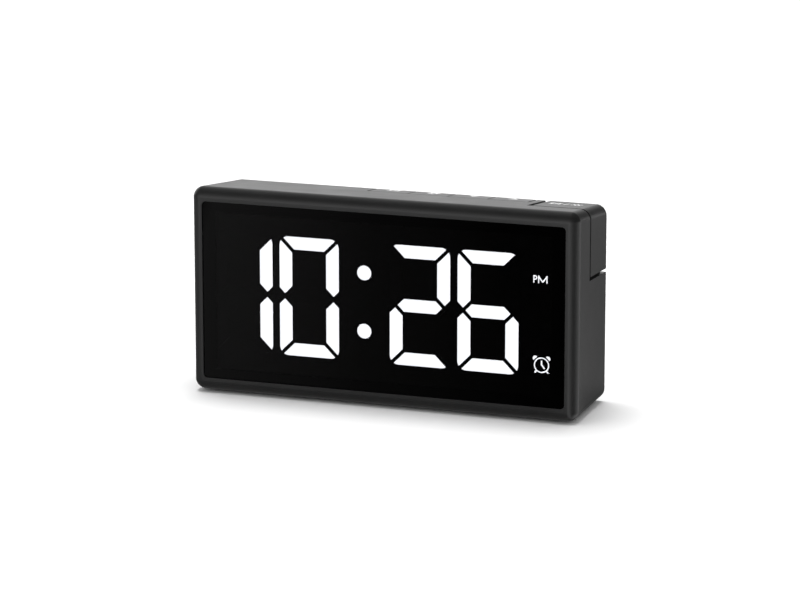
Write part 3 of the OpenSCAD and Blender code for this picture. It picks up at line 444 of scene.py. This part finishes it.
def ink_ring(shape, x, y, outer, inner):
    """A printed ring."""
    where = Matrix.Translation((x, y, 0))
    edges = set()
    for radius in (outer, inner):
        loop = bmesh.ops.create_circle(shape, segments=40, radius=radius, matrix=where)["verts"]
        edges.update(edge for vertex in loop for edge in vertex.link_edges)
    bmesh.ops.bridge_loops(shape, edges=list(edges))


def ink_bar(shape, start, end, width):
    """A printed stroke with square ends."""
    run = Vector(end) - Vector(start)
    middle = (Vector(end) + Vector(start)) / 2
    turn = Matrix.Rotation(math.atan2(run.y, run.x), 4, "Z")
    where = Matrix.Translation((middle.x, middle.y, 0)) @ turn @ Matrix.Diagonal((run.length, width, 1, 1))
    bmesh.ops.create_grid(shape, x_segments=1, y_segments=1, size=0.5, matrix=where)


def ink_rays(shape, x, start, end, width):
    """Eight printed strokes round a point, like teeth or beams."""
    for ray in range(8):
        out = Vector((math.cos(ray * math.pi / 4), math.sin(ray * math.pi / 4)))
        ink_bar(shape, Vector((x, 0)) + out * start, Vector((x, 0)) + out * end, width)


def ink_wedge(shape, x, y, radius, turn):
    """A printed triangle with one tip at the turn."""
    where = Matrix.Translation((x, y, 0)) @ Matrix.Rotation(turn, 4, "Z")
    bmesh.ops.create_circle(shape, cap_ends=True, segments=3, radius=radius, matrix=where)


def printed(name, on, body, x, y, draw):
    """Shows a sign in a thin layer of ink on top of a solid, drawn in millimetres round one point."""
    shape = bmesh.new()
    draw(shape)
    lifted = bmesh.ops.extrude_face_region(shape, geom=shape.faces[:])["geom"]
    top = [part for part in lifted if isinstance(part, bmesh.types.BMVert)]
    bmesh.ops.translate(shape, vec=(0, 0, INK), verts=top)
    bmesh.ops.recalc_face_normals(shape, faces=shape.faces)
    spot, normal, _, _ = search_tree(nodes[on]).ray_cast(Vector((x * MM, y * MM, 1)), Vector((0, 0, -1)))
    tilt = Vector((0, 0, 1)).rotation_difference(normal).to_matrix().to_4x4()
    where = Matrix.Translation(spot) @ tilt @ Matrix.Scale(MM, 4) @ Matrix.Translation((0, 0, -INK_SUNK))
    bmesh.ops.transform(shape, matrix=where, verts=shape.verts)
    mesh = bpy.data.meshes.new(name)
    shape.to_mesh(mesh)
    shape.free()
    mesh.materials.append(printed_white)
    piece = show(mesh, name)
    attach(piece, body)


def alarm_sign(shape, x=0.0, size=ALARM_SIZE):
    """A clock face with two hands, two bells and two feet."""
    ink_ring(shape, x, 0, 1.6 * size, 1.05 * size)
    ink_bar(shape, (x, 0.75 * size), (x, -0.2 * size), 0.4 * size)
    ink_bar(shape, (x + 0.2 * size, 0), (x + 0.75 * size, 0), 0.4 * size)
    for side in (-size, size):
        ink_bar(shape, (x + 0.75 * side, 1.95 * size), (x + 1.85 * side, 1.1 * size), 0.5 * size)
        ink_bar(shape, (x + 1.15 * side, -1.3 * size), (x + 1.6 * side, -1.85 * size), 0.4 * size)


def set_sign(shape):
    """A gear."""
    ink_ring(shape, 0, 0, GEAR_RING, 0.8)
    ink_rays(shape, 0, GEAR_RING, 2.6, 0.85)


def down_sign(shape):
    """An arrow head that points to the front."""
    ink_wedge(shape, 0, ARROW_OFF, ARROW, math.pi)


def up_sign(shape):
    """An arrow head that points to the rear."""
    ink_wedge(shape, 0, -ARROW_OFF, ARROW, 0)


for key, sign in (("alarm", alarm_sign), ("set", set_sign), ("down", down_sign), ("up", up_sign)):
    low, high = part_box(f"{key}_button")
    middle = (low.x + high.x) / 2 / MM
    eased(f"{key}_button", f"{key}_cap", MOULD_EASE, f"{key}_press", button_plastic)
    printed(f"{key}_sign", f"{key}_button", f"{key}_press", middle, high.y / MM - SIGN_IN, sign)

# Snooze key
# One large key over the top right corner, moulded like the buttons, with a slot beside it and a notch under it.
# Its printed signs stand for snooze and for the brightness of the display.
KEY_SIGN = (61.2, 10.2)
CLOCK_X = -4.1
SUN_X = 3.9
key_plastic = moulded("key_plastic", 0.0105, 0.0125, (0.35, 0.41), pits=BUTTON_PITS)
eased("snooze_key", "snooze_cap", MOULD_EASE, "snooze_press", key_plastic)


def snooze_sign(shape):
    """A clock face, a slash and a sun."""
    alarm_sign(shape, CLOCK_X, 1.3)
    ink_bar(shape, (-0.5, -2.2), (0.5, 2.2), 0.6)
    ink_ring(shape, SUN_X, 0, 1.3, 0.5)
    ink_rays(shape, SUN_X, 1.6, 2.4, 0.5)


printed("snooze_sign", "snooze_key", "snooze_press", *KEY_SIGN, snooze_sign)

# Power board, inlet and buzzer
# A small board along the bottom takes the supply: a stamped steel inlet with a black contact tongue,
# and a buzzer that sounds through the slots of the cover.
INLET_EASE = 0.08 * MM
inlet_steel = brushed(
    "inlet_steel", (0.5, 0.5, 0.5), (0.66, 0.66, 0.66), (0.18, 0.32), along=(6000, 300, 6000)
)
eased("power_socket", "inlet_shell", INLET_EASE, "case", inlet_steel)
paint(moulded("tongue_black", 0.014, 0.022, (0.4, 0.5), pits=6000.0), "socket_tongue")
paint(moulded("buzzer_black", 0.013, 0.022, (0.42, 0.55), pits=5000.0), "buzzer")

# Rear cover
# The back of the case in the same black ABS, let into the sleeve and held by four screws.
# The well of the back-up cell, the sound slots and the opening for the inlet are moulded in it.
COVER_EASE = 0.18 * MM
eased("rear_cover", "cover_shell", COVER_EASE, "case", case_plastic)

# Back-up cell and its door
# A lithium coin cell keeps the time when the clock is unplugged. Two brass springs touch its face and its rim,
# and a round door with a coin slot closes the well with an eighth of a turn.
cell_steel = brushed(
    "cell_steel", (0.6, 0.6, 0.58), (0.72, 0.72, 0.7), (0.15, 0.3), along=(5000, 5000, 300)
)
contact_brass = brushed(
    "contact_brass", (0.62, 0.44, 0.17), (0.75, 0.56, 0.26), (0.22, 0.38), along=(300, 5000, 5000)
)
paint(cell_steel, "coin_cell")
paint(contact_brass, "cell_contacts")
eased("battery_door", "door_cap", COVER_EASE, "door", case_plastic)

# Feet
# Four discs of black rubber, pressed into shallow pockets in the base.
# They are dull and slightly coarse, and keep the case just clear of the table.
FOOT_EASE = 0.2 * MM
foot_rubber = moulded(
    "foot_rubber", 0.012, 0.022, (0.8, 0.95), pits=1800.0, clouds=200.0, bump=0.6, depth=0.1 * MM
)
eased("feet", "foot_pads", FOOT_EASE, "case", foot_rubber)

# Floor
# A seamless white sweep, with a painted glow far behind the clock. What the case mirrors of it is painted apart
# and seen only in gloss:
# a painted reflection in front, dark with white beyond it and a painted contact shade by the clock, a painted
# highlight under the front edge, painted highlights and dark bands that fan out round the right front edge, and
# a painted reflection of a lit sweep behind.
FLOOR = 4.0
MIRROR_X = 0.36
# Painted reflection in front of the case, seen only in gloss: its span across, its tones from grey at the left
# to dark at the right, and the painted contact shade by the clock.
FRONT_REFLECTION_SPAN = (-0.09, 0.07)
FRONT_REFLECTION_TONES = ((0.0, 0.25), (0.06, 0.67), (0.56, 0.23), (1.0, 0.03))
PAINTED_CONTACT_SHADE = 0.18
# Place of the right front edge, and the brightness at each angle round it, in degrees from straight ahead: the
# painted highlights and dark bands that its rounding mirrors
CORNER_X = 0.073
CORNER_Y = -0.018
CORNER_HIGHLIGHT_FAN = (
    (-16, 0.05), (-8, 1.4), (8, 1.4), (48, 0.08), (74, 0.08), (92, 0.7),
    (122, 1.0), (132, 1.3), (145, 1.3), (152, 0.15), (160, 0.12),
)


def step(tree, value, start, end, low=0.0, high=1.0):
    """A soft step in a value, from low at start to high at end."""
    limits = {"Value": value, "From Min": start, "From Max": end, "To Min": low, "To Max": high}
    return node(tree, "MapRange", limits, interpolation_type="SMOOTHSTEP").outputs["Result"]


def painted_front_reflection(tree, across, y):
    """A painted reflection in front: greyer at the left, an even painted shade close to the clock for its
    contact shadow, and the white beyond it.
    """
    front_reflection = ramp(tree, spread(tree, across, 0.0, 1.0, *FRONT_REFLECTION_SPAN), FRONT_REFLECTION_TONES)
    # Painted contact shade: an even dark tone close to the clock, where its shadow falls in the reflection.
    contact = step(tree, y, -0.045, -0.03)
    front_reflection = node(tree, "Mix", {"Factor": contact, "A": front_reflection, "B": PAINTED_CONTACT_SHADE}).outputs["Result"]
    return join(tree, "MAXIMUM", front_reflection, step(tree, y, -0.36, -0.5, 0.0, 1.3))


def painted_edge_highlight(tree, y):
    """A painted highlight: a pale strip right under the front edge for the lower rounding to mirror, fading to
    painted shade under the case.
    """
    return join(tree, "MULTIPLY", step(tree, y, -0.021, -0.018), step(tree, y, -0.01, -0.016, 0.1, 0.2))


def painted_corner_highlights(tree, x, y):
    """The painted highlights and dark bands that the rounding of the right front edge mirrors one after
    another.
    """
    aside = join(tree, "SUBTRACT", x, CORNER_X)
    ahead = join(tree, "SUBTRACT", CORNER_Y, y)
    turn = spread(tree, join(tree, "ARCTAN2", aside, ahead), 0.0, 1.0, -math.pi, math.pi)
    return ramp(tree, turn, tuple((0.5 + degrees / 360, grey) for degrees, grey in CORNER_HIGHLIGHT_FAN))


def painted_rear_reflection(tree, across, y):
    """A painted reflection of the sweep behind the clock: soft light with painted shade where it falls off
    close to it, and the far end painted lit at the left.
    """
    near = join(tree, "MULTIPLY", step(tree, y, 0.0, 0.05), spread(tree, y, 0.30, 0.12, 0.02, 0.35))
    far = join(tree, "MULTIPLY", step(tree, y, 0.25, 0.6), step(tree, across, 0.05, -0.05))
    return join(tree, "MAXIMUM", near, far)


def sweep_with_painted_light():
    """Matt white paper with a painted glow that lifts it to pure white far off, and the painted reflections
    that stand in for it in the case's gloss.
    """
    plain = {"Roughness": 0.9, "Specular_IOR_Level": 0.0, "Emission_Color": (1, 1, 1, 1)}
    material, tree, shader, place = new_finish("sweep_with_painted_light", **plain)
    cloud = node(tree, "TexNoise", {"Vector": place, "Scale": 3.0, "Detail": 2.0}).outputs["Fac"]
    axes = node(tree, "SeparateXYZ", {"Vector": place}).outputs
    x, y = axes["X"], axes["Y"]
    # Painted glow: from 0.3 m behind the clock the paper gives off light of its own.
    feed(
        tree, shader,
        Base_Color=ramp(tree, cloud, ((0.3, 0.94), (0.7, 0.955))),
        Emission_Strength=step(tree, y, 0.3, 1.0, 0.0, 0.3),
    )
    across = join(tree, "SUBTRACT", x, join(tree, "MULTIPLY", y, MIRROR_X))
    # What the case mirrors is painted: reflections, highlights and shade, shown only to glossy rays.
    glow = painted_front_reflection(tree, across, y)
    for part in (painted_edge_highlight(tree, y), painted_corner_highlights(tree, x, y), painted_rear_reflection(tree, across, y)):
        glow = join(tree, "MAXIMUM", glow, part)
    gloss = node(tree, "Emission", {"Color": glow}).outputs["Emission"]
    mirrored = node(tree, "LightPath").outputs["Is Glossy Ray"]
    mixed = node(tree, "MixShader", {0: mirrored, 1: shader.outputs["BSDF"], 2: gloss})
    tree.links.new(mixed.outputs["Shader"], tree.nodes["Material Output"].inputs["Surface"])
    return material


shape = bmesh.new()
bmesh.ops.create_grid(shape, x_segments=4, y_segments=4, size=FLOOR)
sweep = bpy.data.meshes.new("floor")
shape.to_mesh(sweep)
shape.free()
sweep.materials.append(sweep_with_painted_light())
show(sweep, "floor")

# Camera
# A long lens from the front right and a little above, as in the photograph.
# Its place and turn were fitted to the outline of the window.
lens = bpy.data.cameras.new("camera")
lens.lens = 162.54
lens.sensor_width = 36.0
lens.clip_start = 0.05
lens.clip_end = 30.0
camera = show(lens, "camera")
camera.location = (0.4454, -1.2211, 0.3327)
camera.rotation_euler = (math.radians(77.17), 0, math.radians(20.02))
bpy.context.scene.camera = camera

# Lights
# One big softbox overhead and a little behind, aimed at the clock, and an even white room round it.
# In gloss the room is darker: pale walls in front and behind, low and at the left, and a pale ceiling.
SOFTBOX = Vector((-0.12, 0.17, 1.4))
SOFTBOX_SIZE = 0.8
SOFTBOX_POWER = 16.5
ROOM_GREY = 0.62

light = bpy.data.lights.new("overhead", "AREA")
light.shape = "SQUARE"
light.size = SOFTBOX_SIZE
light.energy = SOFTBOX_POWER
softbox = show(light, "overhead")
softbox.location = SOFTBOX
softbox.rotation_euler = (-SOFTBOX).to_track_quat("-Z", "Y").to_euler()
softbox.visible_glossy = False
softbox.visible_camera = False

room = bpy.data.worlds.new("room")
bpy.context.scene.world = room
room.use_nodes = True
air = room.node_tree
ray = node(air, "LightPath").outputs
way = node(air, "SeparateXYZ", {"Vector": node(air, "TexCoord").outputs["Generated"]}).outputs


def wall(axis_y, axis_x):
    """A pale wall from a soft step along Y and one along X, brightest low down."""
    pale = join(air, "MULTIPLY", step(air, way["Y"], *axis_y), step(air, way["X"], *axis_x))
    return join(air, "MULTIPLY", pale, step(air, way["Z"], 0.75, 0.15, 0.08, 1.0))


behind = wall((0.0, 0.5, 0.0, 1.42), (0.1, -0.42, 0.06, 1.0))
front = wall((-0.3, -0.7, 0.0, 1.3), (0.6, 0.2, 0.1, 1.0))
ceiling = join(air, "MULTIPLY", step(air, way["Y"], -0.4, 0.9, 0.05, 0.7), step(air, way["Z"], 0.3, 0.6))
ceiling = join(air, "MULTIPLY", ceiling, spread(air, way["X"], 1.0, 0.1, -0.1, 0.2))
gloss = join(air, "MAXIMUM", ceiling, join(air, "MAXIMUM", front, behind))
even = (ROOM_GREY, ROOM_GREY, ROOM_GREY, 1)
fill = {"Factor": ray["Is Glossy Ray"], "A": even, "B": gloss}
fill = node(air, "Mix", fill, data_type="RGBA").outputs["Result"]
white = {"Factor": ray["Is Camera Ray"], "A": fill, "B": (1, 1, 1, 1)}
white = node(air, "Mix", white, data_type="RGBA").outputs["Result"]
air.links.new(white, air.nodes["Background"].inputs["Color"])
bpy.context.scene.view_settings.view_transform = "Standard"
